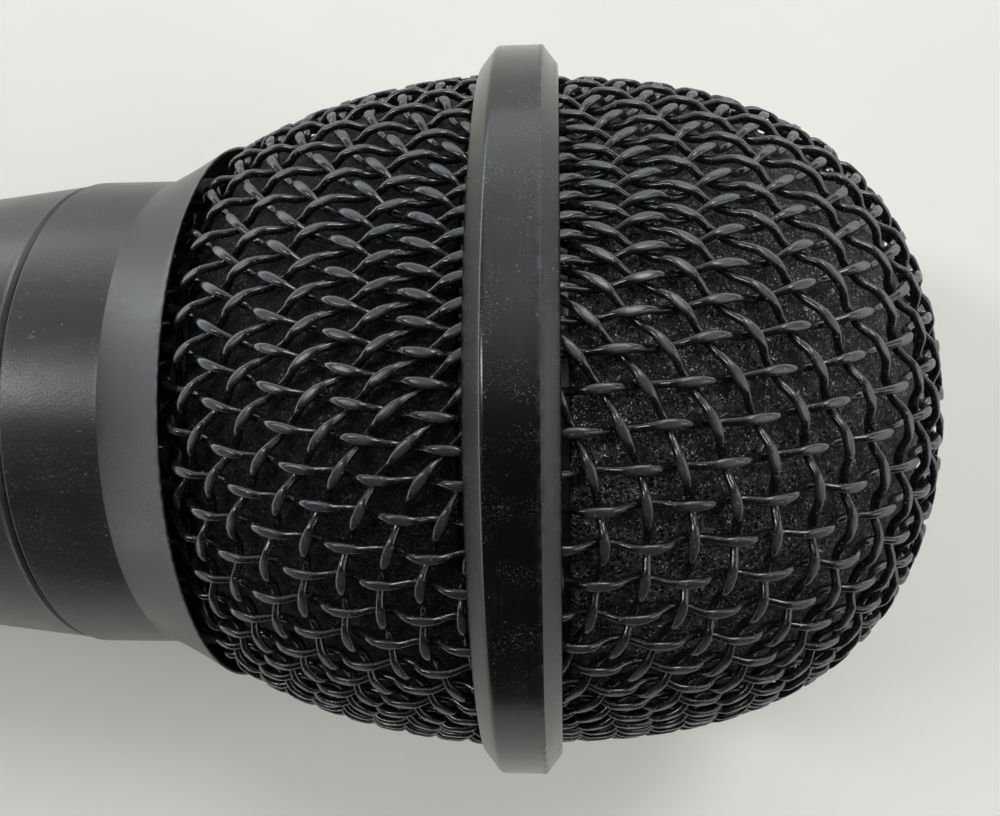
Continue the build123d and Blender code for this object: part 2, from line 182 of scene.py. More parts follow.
def buildWorld():
    # light from a direction is surroundings at its angle from shadeFrom, and to the left and right that times
    # sideWalls at its height; the camera itself sees only the backdrop
    world = bpy.data.worlds.new("studio")
    bpy.context.scene.world = world
    world.use_nodes = True
    tree = world.node_tree
    tree.nodes.clear()
    direction = addNode(tree, "TexCoord").outputs["Generated"]
    towards = Vector(studio["shadeFrom"]).normalized()
    facing = addNode(tree, "VectorMath", {0: direction, 1: towards}, operation="DOT_PRODUCT").outputs["Value"]
    angle = addNode(tree, "Math", {0: facing}, operation="ARCCOSINE").outputs[0]
    scale = studio["rampScale"]
    ramp = addNode(tree, "ValToRGB", {"Fac": remap(tree, angle, 0, math.pi)})
    fillRamp(ramp, [(degrees / 180, [light * scale * t for t in studio["tint"]])
                    for degrees, light in surroundings])
    parts = addNode(tree, "SeparateXYZ", {"Vector": direction})
    atLeast = remap(tree, parts.outputs["X"], *studio["sideways"], 0.0, studio["leastHeight"])
    height = addNode(tree, "Math", {0: parts.outputs["Z"], 1: atLeast}, operation="MAXIMUM").outputs[0]
    walls = addNode(tree, "ValToRGB", {"Fac": height})
    fillRamp(walls, [(level, [share * scale] * 3) for level, share in sideWalls])
    sideways = addNode(tree, "Math", {0: parts.outputs["X"]}, operation="ABSOLUTE").outputs[0]
    toSide = remap(tree, sideways, *studio["sideways"])
    walled = times(tree, walls.outputs["Color"], 1 / scale ** 2)
    strength = addNode(tree, "Mix", {"Factor": toSide, "A": 1 / scale, "B": walled})
    room = addNode(tree, "Background", {"Color": ramp.outputs["Color"], "Strength": strength.outputs["Result"]})
    seen = addNode(tree, "Background", {"Color": (*studio["backdrop"], 1), "Strength": 1.0})
    isSeen = addNode(tree, "LightPath").outputs["Is Camera Ray"]
    either = addNode(tree, "MixShader", {0: isSeen, 1: room.outputs[0], 2: seen.outputs[0]})
    addNode(tree, "OutputWorld", {"Surface": either.outputs[0]})


buildWorld()
for lampName, (towards, (width, height), power) in studio["lamps"].items():
    lampData = bpy.data.lights.new(lampName, "AREA")
    lampData.shape = "RECTANGLE"
    lampData.size, lampData.size_y = width * mm, height * mm
    lampData.energy = power
    lampObject = bpy.data.objects.new(lampName, lampData)
    lampWay = Vector(towards).normalized()
    lampObject.location = Vector((studio["lampsFaceX"], 0, 0)) + lampWay * studio["lampDistance"] * mm
    lampObject.rotation_euler = lampWay.to_track_quat("Z", "X").to_euler()
    bpy.context.scene.collection.objects.link(lampObject)
bpy.context.scene.view_settings.view_transform = "Standard"
bpy.context.scene.cycles.use_denoising = True


def turnedOver(faces):
    # the same faces seen from the other side; the first corner stays, so a quad splits as it did
    return np.roll(faces[:, ::-1], 1, axis=1)


def looksInwards(vertices, faceSets):
    # for a closed mesh: the sum of first . (second x third) over its triangles, which is six times the volume
    # inside, comes out negative if the faces look inwards
    total = 0.0
    for faces in faceSets:
        corners = vertices[faces]
        for k in range(1, faces.shape[1] - 1):
            total += np.einsum("ij,ij->", corners[:, 0], np.cross(corners[:, k], corners[:, k + 1]))
    return total < 0


def buildMesh(name, vertices, quads, triangles=None, smoothAngle=None, closed=True):
    # one object from an array of points in millimetres and arrays of four- and three-cornered faces; the
    # faces of a closed mesh are turned over if they look inwards
    mesh = bpy.data.meshes.new(name)
    corners = [quads] if triangles is None else [quads, triangles]
    if closed and looksInwards(vertices, corners):
        corners = [turnedOver(faces) for faces in corners]
    loops = np.concatenate([c.ravel() for c in corners]).astype(np.int32)
    totals = np.concatenate([np.full(len(c), c.shape[1]) for c in corners]).astype(np.int32)
    starts = (np.cumsum(totals) - totals).astype(np.int32)
    mesh.vertices.add(len(vertices))
    mesh.vertices.foreach_set("co", (vertices * mm).astype(np.float32).ravel())
    mesh.loops.add(len(loops))
    mesh.loops.foreach_set("vertex_index", loops)
    mesh.polygons.add(len(totals))
    mesh.polygons.foreach_set("loop_start", starts)
    mesh.update(calc_edges=True)
    mesh.validate()
    mesh.polygons.foreach_set("use_smooth", np.ones(len(totals), bool))
    if smoothAngle is not None:
        mesh.set_sharp_from_angle(angle=math.radians(smoothAngle))
    piece = bpy.data.objects.new(name, mesh)
    bpy.context.scene.collection.objects.link(piece)
    return piece


def giveAttribute(piece, name, values):
    # a number, or three, for each point of the mesh, for its material to read
    values = np.asarray(values, np.float32)
    kind = "FLOAT" if values.ndim == 1 else "FLOAT_VECTOR"
    attribute = piece.data.attributes.new(name, kind, "POINT")
    attribute.data.foreach_set("value" if values.ndim == 1 else "vector", values.ravel())


def gridQuads(rows, columns, wrapRows=False, wrapColumns=False):
    # faces between neighbours of a rows x columns grid of points numbered row by row
    index = np.arange(rows * columns).reshape(rows, columns)
    if wrapRows:
        index = np.vstack([index, index[:1]])
    if wrapColumns:
        index = np.hstack([index, index[:, :1]])
    return np.stack([index[:-1, :-1], index[:-1, 1:], index[1:, 1:], index[1:, :-1]], -1).reshape(-1, 4)


table = {
    "tailTouch": (0.0, -11.8),       # the edge of the tail, x and z
    "ringTouch": (134.1, -26.0),     # the lowest point of the ring
    "along": (-100.0, 520.0),
    "across": 420.0,
    "divisions": 32,
    "gap": 0.02,                     # between the microphone and the table
}


def buildTable():
    # the plane through the two lowest points of the microphone as it lies, which slopes by their difference
    (x0, z0), (x1, z1) = table["tailTouch"], table["ringTouch"]
    slope = (z1 - z0) / (x1 - x0)
    along = np.linspace(*table["along"], table["divisions"])
    across = np.linspace(-table["across"], table["across"], table["divisions"])
    x, y = np.meshgrid(along, across)
    surface = np.stack([x, y, z0 + slope * (x - x0) - table["gap"]], -1).reshape(-1, 3)
    faces = gridQuads(table["divisions"], table["divisions"])
    piece = buildMesh("table_top", surface, faces, closed=False)
    material, tree, shader = startMaterial("matt_white_table")
    place = objectPlace(tree)
    cloud = grain(tree, place, 90, detail=4)
    pores = grain(tree, place, 0.8, detail=2)
    darker, lighter = (0.815, 0.80, 0.74), (0.855, 0.845, 0.785)
    colour = blendColour(tree, remap(tree, cloud, 0.35, 0.65), darker, lighter)
    tree.links.new(colour, shader.inputs["Base Color"])
    tree.links.new(remap(tree, pores, 0.3, 0.7, 0.5, 0.62), shader.inputs["Roughness"])
    tree.links.new(bumpFrom(tree, pores, 0.004), shader.inputs["Normal"])
    shader.inputs["Specular IOR Level"].default_value = 0.25
    piece.data.materials.append(material)


buildTable()
print("camera, lamps and table placed")


def paintFinish(name, base, roughness, gritSize, dustShare, worn=False):
    # satin black paint: fine grit in the coat, cloudy wear, dust specks and short pale fibres
    material, tree, shader = startMaterial(name)
    place = objectPlace(tree)
    dustColour, wearColour = (0.32, 0.31, 0.30), (0.16, 0.16, 0.155)
    grit = grain(tree, place, gritSize, detail=2, rough=0.6)
    cloud = grain(tree, place, 9, detail=4)
    smear = grain(tree, place, 3.5, detail=5, rough=0.65, stretch=(0.35, 1, 1), warp=0.4)
    patches = remap(tree, grain(tree, place, 5, detail=3), 0.5, 0.66)
    dots = plus(tree, specks(tree, place, 0.55, 0.07, dustShare),
                specks(tree, place, 1.7, 0.11, dustShare * 0.8))
    threads = grain(tree, place, 0.55, detail=1, stretch=(0.25, 1.2, 1.2), warp=1.6)
    threads = times(tree, remap(tree, threads, 0.735, 0.76), patches)
    powder = times(tree, remap(tree, grain(tree, place, 0.1, detail=2, rough=0.6), 0.63, 0.70),
                   remap(tree, smear, 0.42, 0.62, 0.08, 1))
    dust = plus(tree, times(tree, dots, remap(tree, cloud, 0.35, 0.6, 0.15, 1)), threads, clamp=True)
    dust = plus(tree, dust, times(tree, powder, 0.8), clamp=True)
    darker, lighter = [b * 0.8 for b in base], [b * 1.35 for b in base]
    colour = blendColour(tree, remap(tree, smear, 0.35, 0.75), darker, lighter)
    colour = blendColour(tree, remap(tree, dust, 0, 1, 0, 0.4), colour, dustColour)
    if worn:
        wear = addNode(tree, "Attribute", attribute_name="wear").outputs["Fac"]
        colour = blendColour(tree, remap(tree, wear, 0, 1, 0, 0.8), colour, wearColour)
    tree.links.new(colour, shader.inputs["Base Color"])
    rough = plus(tree, remap(tree, cloud, 0.3, 0.7, roughness - 0.04, roughness + 0.04),
                 remap(tree, smear, 0.4, 0.75, 0, 0.06))
    tree.links.new(plus(tree, rough, times(tree, dust, 0.4)), shader.inputs["Roughness"])
    height = plus(tree, grit, times(tree, dust, 2.5))
    tree.links.new(bumpFrom(tree, height, 0.015, 0.6), shader.inputs["Normal"])
    shader.inputs["Specular IOR Level"].default_value = 0.5
    return material


def plainFinish(name, first, second, roughness, metal=0.0, size=1.0, depth=0.004, stretch=(1, 1, 1),
                pattern="cast", fine=0.12):
    # a workshop finish: two tones in blotches of the given size, a fine grain, a pattern by its making, and
    # painted shade in the pattern's low places
    material, tree, shader = startMaterial(name)
    place = objectPlace(tree)
    blotch = grain(tree, place, size, detail=4, stretch=stretch)
    fineGrain = grain(tree, place, fine, detail=2)
    height = fineGrain
    if pattern == "turned":
        # tool rings: bands along the axis
        rings = addNode(tree, "TexWave", {
            "Vector": place, "Scale": 1 / (0.5 * mm), "Distortion": 0.6, "Detail": 1.0,
        }, bands_direction="X").outputs["Fac"]
        height = plus(tree, times(tree, fineGrain, 0.4), times(tree, rings, 0.6))
    if pattern == "woven":
        # plain cloth: crossed bands about Y and Z
        bands = [
            addNode(tree, "TexWave", {"Vector": place, "Scale": 1 / (1.6 * mm), "Distortion": 0.3},
                    bands_direction=way).outputs["Fac"]
            for way in ("Y", "Z")
        ]
        height = times(tree, *bands)
    if pattern == "wound":
        # fine enamelled wire side by side along the axis
        height = addNode(tree, "TexWave", {"Vector": place, "Scale": 1 / (0.9 * mm), "Distortion": 0.1},
                         bands_direction="X").outputs["Fac"]
    colour = blendColour(tree, remap(tree, blotch, 0.35, 0.65), first, second)
    # painted shade: the colour darkens where the pattern's height is low
    hollowShade = remap(tree, height, 0.0, 0.5, 0.45, 0)
    colour = blendColour(tree, hollowShade, colour, [c * 0.45 for c in first])
    tree.links.new(colour, shader.inputs["Base Color"])
    shader.inputs["Metallic"].default_value = metal
    rough = remap(tree, blotch, 0.3, 0.7, roughness - 0.06, roughness + 0.08)
    tree.links.new(rough, shader.inputs["Roughness"])
    tree.links.new(bumpFrom(tree, height, depth), shader.inputs["Normal"])
    return material


def wireFinish():
    # black coat on the wires: glossy away from the crowns, dulled and dusty on the crowns that hands touch; the
    # crowns' lighter grey is partly rubbed wear and partly a painted sheen
    material, tree, shader = startMaterial("coated_wire")
    place = objectPlace(tree)
    crown = addNode(tree, "Attribute", attribute_name="crown").outputs["Fac"]
    rub = grain(tree, place, 0.5, detail=4, rough=0.7)
    cloud = grain(tree, place, 8, detail=3)
    flakes = specks(tree, place, 0.35, 0.07, 0.35)
    lint = remap(tree, grain(tree, place, 0.16, detail=4, rough=0.8), 0.585, 0.68)
    matt = times(tree, crown, remap(tree, rub, 0.25, 0.6, 0.65, 1.0))
    matt = times(tree, matt, remap(tree, cloud, 0.3, 0.7, 0.75, 1.0))
    hollowColour, crownWearAndSheenColour = (0.005, 0.0052, 0.0056), (0.026, 0.028, 0.030)
    dustColour = (0.24, 0.235, 0.22)
    # painted sheen: the crowns are coloured a lighter grey, partly for rubbed wear and partly for the light
    # they catch
    colour = blendColour(tree, matt, hollowColour, crownWearAndSheenColour)
    dust = plus(tree, times(tree, flakes, 0.5), times(tree, lint, 0.35), clamp=True)
    colour = blendColour(tree, dust, colour, dustColour)
    tree.links.new(colour, shader.inputs["Base Color"])
    rough = plus(tree, remap(tree, matt, 0, 1, 0.17, 0.34), times(tree, dust, 0.3))
    tree.links.new(rough, shader.inputs["Roughness"])
    height = plus(tree, times(tree, rub, 0.7), times(tree, dust, 0.8))
    tree.links.new(bumpFrom(tree, height, 0.018, 0.6), shader.inputs["Normal"])
    shader.inputs["Specular IOR Level"].default_value = 0.62
    return material


def foamFinish(name, shadeLightness):
    # open-cell foam: pores painted nearly black as shade, between fine struts that catch the light, with
    # painted glint spots
    material, tree, shader = startMaterial(name)
    place = objectPlace(tree)
    # painted shade: the pores are coloured nearly black
    poreShadeColour = (0.0012, 0.0011, 0.0010)
    strutColour = [c * shadeLightness for c in (0.15, 0.142, 0.13)]
    paintedGlintColour = [c * shadeLightness for c in (0.75, 0.76, 0.78)]
    pores = addNode(tree, "TexVoronoi", {"Vector": place, "Scale": 1 / (0.36 * mm)},
                    feature="DISTANCE_TO_EDGE")
    struts = remap(tree, pores.outputs["Distance"], 0.16, 0.02)
    crumbs = remap(tree, grain(tree, place, 0.22, detail=3, rough=0.75), 0.50, 0.64)
    patch = remap(tree, grain(tree, place, 1.7, detail=4, rough=0.6), 0.38, 0.62)
    # painted glint spots: small near-white spots in the colour stand for light caught by the foam
    paintedGlints = remap(tree, grain(tree, place, 0.17, detail=1, rough=0.5, warp=1.5), 0.64, 0.68)
    paintedGlints = times(tree, paintedGlints, remap(tree, patch, 0, 1, 0.3, 1))
    pattern = times(tree, plus(tree, times(tree, struts, 0.35), times(tree, crumbs, 0.85)),
                    remap(tree, patch, 0, 1, 0.25, 1))
    colour = blendColour(tree, pattern, poreShadeColour, strutColour)
    colour = blendColour(tree, paintedGlints, colour, paintedGlintColour)
    tree.links.new(colour, shader.inputs["Base Color"])
    tree.links.new(remap(tree, patch, 0, 1, 0.6, 0.32), shader.inputs["Roughness"])
    height = plus(tree, plus(tree, struts, crumbs), paintedGlints)
    tree.links.new(bumpFrom(tree, height, 0.09, 0.8), shader.inputs["Normal"])
    shader.inputs["Specular IOR Level"].default_value = 0.22
    return material


def ringFinish():
    # smooth black moulding: faint turning marks round it, scattered dust
    filmColours = (0.0016, 0.0016, 0.0018), (0.007, 0.007, 0.0066)
    wearColour, dustColour = (0.045, 0.046, 0.046), (0.26, 0.26, 0.25)
    material, tree, shader = startMaterial("ring_enamel")
    place = objectPlace(tree)
    along = addNode(tree, "Attribute", attribute_name="around").outputs["Vector"]
    marks = grain(tree, along, 0.12, detail=3, stretch=(1, 0.02, 1))
    cloud = grain(tree, place, 4, detail=5, rough=0.6)
    dots = plus(tree, specks(tree, place, 0.5, 0.065, 0.35), specks(tree, place, 1.3, 0.1, 0.4))
    dust = times(tree, dots, remap(tree, cloud, 0.42, 0.62, 0.1, 1))
    film = times(tree, remap(tree, cloud, 0.45, 0.75), remap(tree, marks, 0.4, 0.7))
    wear = addNode(tree, "Attribute", attribute_name="wear").outputs["Fac"]
    powder = times(tree, remap(tree, grain(tree, place, 0.09, detail=2), 0.60, 0.68),
                   remap(tree, grain(tree, place, 2.2, detail=4), 0.46, 0.64, 0.04, 1))
    colour = blendColour(tree, film, *filmColours)
    colour = blendColour(tree, times(tree, wear, 0.35), colour, wearColour)
    colour = blendColour(tree, times(tree, dust, 0.3), colour, dustColour)
    colour = blendColour(tree, times(tree, powder, 0.35), colour, dustColour)
    tree.links.new(colour, shader.inputs["Base Color"])
    rough = plus(tree, remap(tree, film, 0, 1, 0.20, 0.28), times(tree, wear, 0.2))
    tree.links.new(plus(tree, rough, times(tree, dust, 0.4)), shader.inputs["Roughness"])
    tree.links.new(bumpFrom(tree, plus(tree, times(tree, marks, 0.25), dust), 0.006), shader.inputs["Normal"])
    shader.inputs["Specular IOR Level"].default_value = 0.5
    return material


handlePaint = paintFinish("handle_paint", (0.0165, 0.0165, 0.0168), 0.32, 0.16, 0.30)
collarPaint = paintFinish("collar_paint", (0.0155, 0.0157, 0.016), 0.32, 0.16, 0.35, worn=True)
ringEnamel = ringFinish()
coatedWire = wireFinish()
windscreenFoam = foamFinish("windscreen_foam", 1.0)
# the bowl's foam is the same foam darkened as painted shade
paintedShadeFoam = foamFinish("painted_shade_foam", 0.16)
print("main finishes made")


def roundCorners(points, radii, steps=5):
    # each corner of the outline with a radius becomes the curve (1-t)^2 start + 2t(1-t) corner + t^2 end,
    # tangent to its two sides, which starts and ends within 0.49 of their lengths
    mostOfSide = 0.49
    points = np.asarray(points, float)
    before, after = np.roll(points, 1, 0), np.roll(points, -1, 0)
    outline = []
    for point, last, following, radius in zip(points, before, after, radii):
        if radius <= 0:
            outline.append(point[None])
            continue
        a, b = last - point, following - point
        lengthA, lengthB = np.linalg.norm(a), np.linalg.norm(b)
        a, b = a / lengthA, b / lengthB
        half = math.acos(np.clip(a @ b, -1, 1)) / 2
        reach = min(radius / math.tan(half), mostOfSide * lengthA, mostOfSide * lengthB)
        start, end = point + a * reach, point + b * reach
        t = np.linspace(0, 1, steps + 1)[:, None]
        outline.append((1 - t) ** 2 * start + 2 * t * (1 - t) * point + t ** 2 * end)
    return np.concatenate(outline)


def refineOutline(outline, step):
    # points along the closed outline no further apart than step
    following = np.roll(outline, -1, 0)
    counts = np.maximum(1, np.ceil(np.linalg.norm(following - outline, axis=1) / step).astype(int))
    pieces = [
        start + (end - start) * np.linspace(0, 1, count, endpoint=False)[:, None]
        for start, end, count in zip(outline, following, counts)
    ]
    return np.concatenate(pieces)


def waves(angle, station, seed, count, low, high):
    # smooth random relief round the piece: a sum of sines in angle whose phase drifts along the axis
    random = np.random.default_rng(seed)
    total = np.zeros(np.broadcast(angle, station).shape)
    for turns, phase, drift in zip(
        random.integers(low, high, count), random.uniform(0, 2 * np.pi, count), random.uniform(-3, 3, count)
    ):
        total = total + np.sin(turns * angle + phase + drift * station)
    return total / math.sqrt(count)


def turnedPiece(name, outline, segments, wearAt=(), wearWidth=0.12, shape=None, smoothAngle=38):
    # outline is x and radius, closed; a point at angle a is (x, r cos a, r sin a). Each edge in wearAt is
    # rubbed in patches, by exp(-(distance / wearWidth)^2)
    angle = np.linspace(0, 2 * np.pi, segments, endpoint=False)[None, :]
    x = np.repeat(outline[:, :1], segments, 1)
    r = np.repeat(outline[:, 1:2], segments, 1)
    wear = np.zeros_like(x)
    for k, (wearX, wearR) in enumerate(wearAt):
        near = np.exp(-((x - wearX) ** 2 + (r - wearR) ** 2) / wearWidth ** 2)
        rubbed = 0.5 + 0.5 * waves(angle, x, seed=40 + k, count=24, low=5, high=160)
        wear = np.maximum(wear, near * np.clip(rubbed, 0, 1))
    if shape is not None:
        x, r = shape(x, r, angle)
    points = np.stack([x, r * np.cos(angle), r * np.sin(angle)], -1).reshape(-1, 3)
    # reversed, so that each quad splits along its other diagonal
    faces = gridQuads(len(outline), segments, wrapRows=True, wrapColumns=True)[:, ::-1]
    piece = buildMesh(name, points, faces, smoothAngle=smoothAngle)
    giveAttribute(piece, "wear", wear.ravel())
    around = np.stack([x, r * angle, r], -1).reshape(-1, 3) * mm
    giveAttribute(piece, "around", around)
    return piece


def arcThrough(first, middle, last, steps):
    # points of the circle through three points, from the first to the last
    (ax, ay), (bx, by), (cx, cy) = first, middle, last
    d = 2 * (ax * (by - cy) + bx * (cy - ay) + cx * (ay - by))
    a2, b2, c2 = ax * ax + ay * ay, bx * bx + by * by, cx * cx + cy * cy
    ux = (a2 * (by - cy) + b2 * (cy - ay) + c2 * (ay - by)) / d
    uy = (a2 * (cx - bx) + b2 * (ax - cx) + c2 * (bx - ax)) / d
    radius = math.hypot(ax - ux, ay - uy)
    start, end = math.atan2(ay - uy, ax - ux), math.atan2(cy - uy, cx - ux)
    turn = (end - start + math.pi) % (2 * math.pi) - math.pi
    t = start + turn * np.linspace(0, 1, steps)
    return np.stack([ux + radius * np.cos(t), uy + radius * np.sin(t)], -1)


collar = {
    "backX": 102.9, "cornerX": 109.05, "lipX": 113.8,
    "radius": 17.5, "midFlare": (111.7, 18.72), "lipRadius": 19.87,
    "lipWall": 0.22, "channelX": 110.9, "channelOuter": 17.7, "channelCorner": (0.35, 0.3),
    "innerWall": (15.0, 15.6), "innerTop": 112.9,
    "threadCrest": 15.62, "threadRoot": 16.0, "threadStart": 104.7, "threadPitch": 1.0, "threadTurns": 3,
    "threadFlank": 0.15, "threadRelief": 0.2,
    "edge": 0.25, "edgeRound": 0.12, "flareRound": 0.35, "lipRound": 0.07, "channelRounds": (0.3, 0.15),
    "flarePoints": 10, "outlineStep": 0.6, "segments": 720,
    "nickDepth": 0.05, "nickWidth": 0.25, "ripple": 0.006, "lipThinning": 0.004,
}


def buildCollar():
    # one closed outline turned about the axis: straight sleeve, flare along the circle through three points,
    # channel behind the lip, inner wall, then the grooves of the thread back to the sleeve's end
    c = collar
    innerR, outerR = c["innerWall"]
    cornerX, cornerR = c["channelCorner"]
    flank = c["threadFlank"]
    sleeve = [(c["backX"], c["threadRoot"] + c["threadRelief"]), (c["backX"], c["radius"] - c["edge"]),
              (c["backX"] + c["edge"], c["radius"])]
    flareEnds = (c["cornerX"], c["radius"]), (c["lipX"], c["lipRadius"])
    flare = arcThrough(flareEnds[0], c["midFlare"], flareEnds[1], c["flarePoints"])
    lip = [(c["lipX"], c["lipRadius"] - c["lipWall"]), (c["channelX"] + cornerX, c["channelOuter"] + cornerR),
           (c["channelX"], c["channelOuter"])]
    inside = [(c["channelX"], outerR), (c["innerTop"], outerR), (c["innerTop"], innerR), (c["cornerX"], innerR),
              (c["cornerX"], c["threadCrest"]), (c["cornerX"] - c["threadRelief"], c["threadRoot"])]
    for turn in range(c["threadTurns"], -1, -1):
        crestX = c["threadStart"] + c["threadPitch"] * turn
        inside += [(crestX + flank, c["threadRoot"]), (crestX, c["threadCrest"]),
                   (crestX - flank, c["threadCrest"]), (crestX - 2 * flank, c["threadRoot"])]
    inside.append((c["backX"] + 2 * flank, c["threadRoot"]))
    points = sleeve + [tuple(p) for p in flare] + lip + inside
    radii = [0.0, c["edgeRound"], c["edgeRound"], c["flareRound"]] + [0.0] * (len(flare) - 2)
    radii += [c["lipRound"], c["lipRound"], *c["channelRounds"]] + [0.0] * len(inside)
    outline = refineOutline(roundCorners(points, radii), c["outlineStep"])

    def nicked(x, r, angle):
        # the thin lip is chipped and a little out of round: near is exp(-(distance from it / width)^2)
        near = np.exp(-((x - c["lipX"]) ** 2 + (r - c["lipRadius"]) ** 2) / c["nickWidth"] ** 2)
        chips = waves(angle, x, seed=7, count=40, low=30, high=220) - 1.1
        chips = np.clip(chips, 0, 1.2) * c["nickDepth"]
        ripple = c["ripple"] * waves(angle, x, seed=8, count=12, low=2, high=30)
        return x - near * (chips + np.abs(ripple)), r - near * (0.5 * chips + c["lipThinning"])

    piece = turnedPiece("painted_collar", outline, c["segments"],
                        wearAt=[(c["lipX"], c["lipRadius"]), (c["backX"] + 0.1, c["radius"] - 0.1)],
                        wearWidth=0.09, shape=nicked)
    piece.data.materials.append(collarPaint)
    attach(piece, "grille")
    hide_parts("collar")


ring = {
    "x": (131.55, 136.55), "flatX": (132.62, 135.54), "radius": 26.0, "edgeRadius": 24.7, "bore": 24.45,
    "rounds": (0.05, 0.32, 0.42, 0.06, 0.32, 0.05),   # of the six corners, in the order of the outline
    "roundSteps": 7, "outlineStep": 0.25, "segments": 720,
    "flashHeight": 0.035, "flashWidth": 0.07,
}


def buildRing():
    # a flat band between two bevels, turned about the axis
    g = ring
    (backX, frontX), (flatBack, flatFront) = g["x"], g["flatX"]
    flatRadius = g["radius"] - g["flashHeight"]
    points = [(backX, g["bore"]), (backX, g["edgeRadius"]), (flatBack, flatRadius),
              (flatFront, flatRadius), (frontX, g["edgeRadius"]), (frontX, g["bore"])]
    outline = refineOutline(roundCorners(points, g["rounds"], g["roundSteps"]), g["outlineStep"])

    def flashed(x, r, angle):
        # a thin uneven line left by the mould stands on the front edge of the flat
        near = np.exp(-((x - flatFront) ** 2 + (r - g["radius"]) ** 2) / g["flashWidth"] ** 2)
        uneven = 0.55 + 0.3 * waves(angle, x, seed=21, count=30, low=4, high=200)
        return x, r + near * (g["flashHeight"] * np.clip(uneven, 0, 1))

    piece = turnedPiece("grille_joint_ring", outline, g["segments"],
                        wearAt=[(flatFront, g["radius"]), (frontX - 0.25, g["edgeRadius"] + 0.2)],
                        wearWidth=0.1, shape=flashed, smoothAngle=50)
    piece.data.materials.append(ringEnamel)
    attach(piece, "grille")
    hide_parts("grille_ring")


buildCollar()
buildRing()
print("collar and ring turned")


weave = {
    "diameter": 0.51,
    "swing": 0.34,         # how far a wire's middle goes out and in as it passes over and under
    "pressed": 0.085,      # flattening of the crowns
    "spread": 0.24,        # and how much wider the press leaves them
    "straightness": 1.2,   # 0 for a cosine, more for straight flanks and longer crowns
    "steps": 9,            # along the wire from one crossing to the next
    "sides": 12,
    "unevenness": 0.075,
    "reach": 30,           # crossings from the tip to the end of the net, one way
    "widensFrom": 0.7, "widensOver": 0.3,   # the share of the swing over which the press widens a wire
    "crownEdge": 0.05,
    "shortest": 4,         # runs of no more sections than this are dropped
}
# each shell: the middle surface between the two layers of wire, where (|x - centre| / length)^power and
# (r / radius)^power add up to 1
shells = {
    "dome": {"centre": 131.2, "length": 30.22, "radius": 23.54, "power": 2.78, "side": 1, "turn": 18.0,
             "pitch": 2.335, "ease": 0.14, "from": 134.4, "to": 170.0, "seed": 3, "node": "dome_mesh"},
    "bowl": {"centre": 135.94, "length": 32.62, "radius": 23.82, "power": 2.25, "side": -1, "turn": 28.7,
             "pitch": 2.262, "ease": 0.12, "from": 111.4, "to": 133.7, "seed": 4, "node": "bowl_mesh"},
}
tuck = {"from": 115.1, "over": 1.7, "depth": 1.35, "least": 16.75}   # the bowl's rim turned in behind the lip


def surfaceValue(points, shell):
    # how far outside the shell a point is, and the outward direction: the gradient of the superellipse
    x = (points[..., 0] - shell["centre"]) / shell["length"]
    r = np.hypot(points[..., 1], points[..., 2]) + 1e-9
    n = shell["power"]
    value = np.abs(x) ** n + (r / shell["radius"]) ** n - 1
    slopeX = n * np.abs(x) ** (n - 1) * np.sign(x) / shell["length"]
    slopeR = n * (r / shell["radius"]) ** (n - 1) / shell["radius"]
    return value, np.stack([slopeX, slopeR * points[..., 1] / r, slopeR * points[..., 2] / r], -1)


def quarterNet(shell, reach):
    # a cloth laid on the shell from its tip: every crossing is one pitch from its two neighbours, found from
    # theirs by Newton's method on the two distances and the shell's equation
    meridianPoints, rounds, tolerance, pastRim = 40001, 30, 1e-3, 0.02
    pitch, side = shell["pitch"], shell["side"]
    t = np.linspace(0, np.pi / 2, meridianPoints)
    x = side * shell["length"] * np.cos(t) ** (2 / shell["power"])
    r = shell["radius"] * np.sin(t) ** (2 / shell["power"])
    net = np.full((reach + 1, reach + 1, 3), np.nan)
    place, k = (x[0], r[0]), 0
    for step in range(reach + 1):
        net[step, 0] = shell["centre"] + place[0], place[1], 0
        net[0, step] = shell["centre"] + place[0], 0, place[1]
        far = np.hypot(x[k:] - place[0], r[k:] - place[1]) >= pitch
        if not far.any():
            break
        k += int(np.argmax(far))
        place = (x[k], r[k])
    for diagonal in range(2, 2 * reach + 1):
        i = np.arange(max(1, diagonal - reach), min(reach, diagonal - 1) + 1)
        j = diagonal - i
        a, b, c = net[i - 1, j], net[i, j - 1], net[i - 1, j - 1]
        known = np.isfinite(a + b + c).all(1)
        if not known.any():
            break
        i, j, a, b, c = i[known], j[known], a[known], b[known], c[known]
        point = a + b - c
        for _ in range(rounds):
            value, gradient = surfaceValue(point, shell)
            slopes = np.stack([2 * (point - a), 2 * (point - b), gradient], 1)
            miss = np.stack([((point - a) ** 2).sum(1) - pitch ** 2,
                             ((point - b) ** 2).sum(1) - pitch ** 2, value], 1)
            point = point - np.clip(np.linalg.solve(slopes, miss[..., None])[..., 0], -1, 1)
        beyond = side * (point[:, 0] - shell["centre"]) < -pastRim * shell["length"]
        point[(np.abs(miss).max(1) > tolerance) | beyond] = np.nan
        net[i, j] = point
    return net


def turnAboutAxis(points, degrees):
    # (x, y, z) goes to (x, y cos a - z sin a, y sin a + z cos a)
    c, s = math.cos(math.radians(degrees)), math.sin(math.radians(degrees))
    return np.stack([points[..., 0], c * points[..., 1] - s * points[..., 2],
                     s * points[..., 1] + c * points[..., 2]], -1)


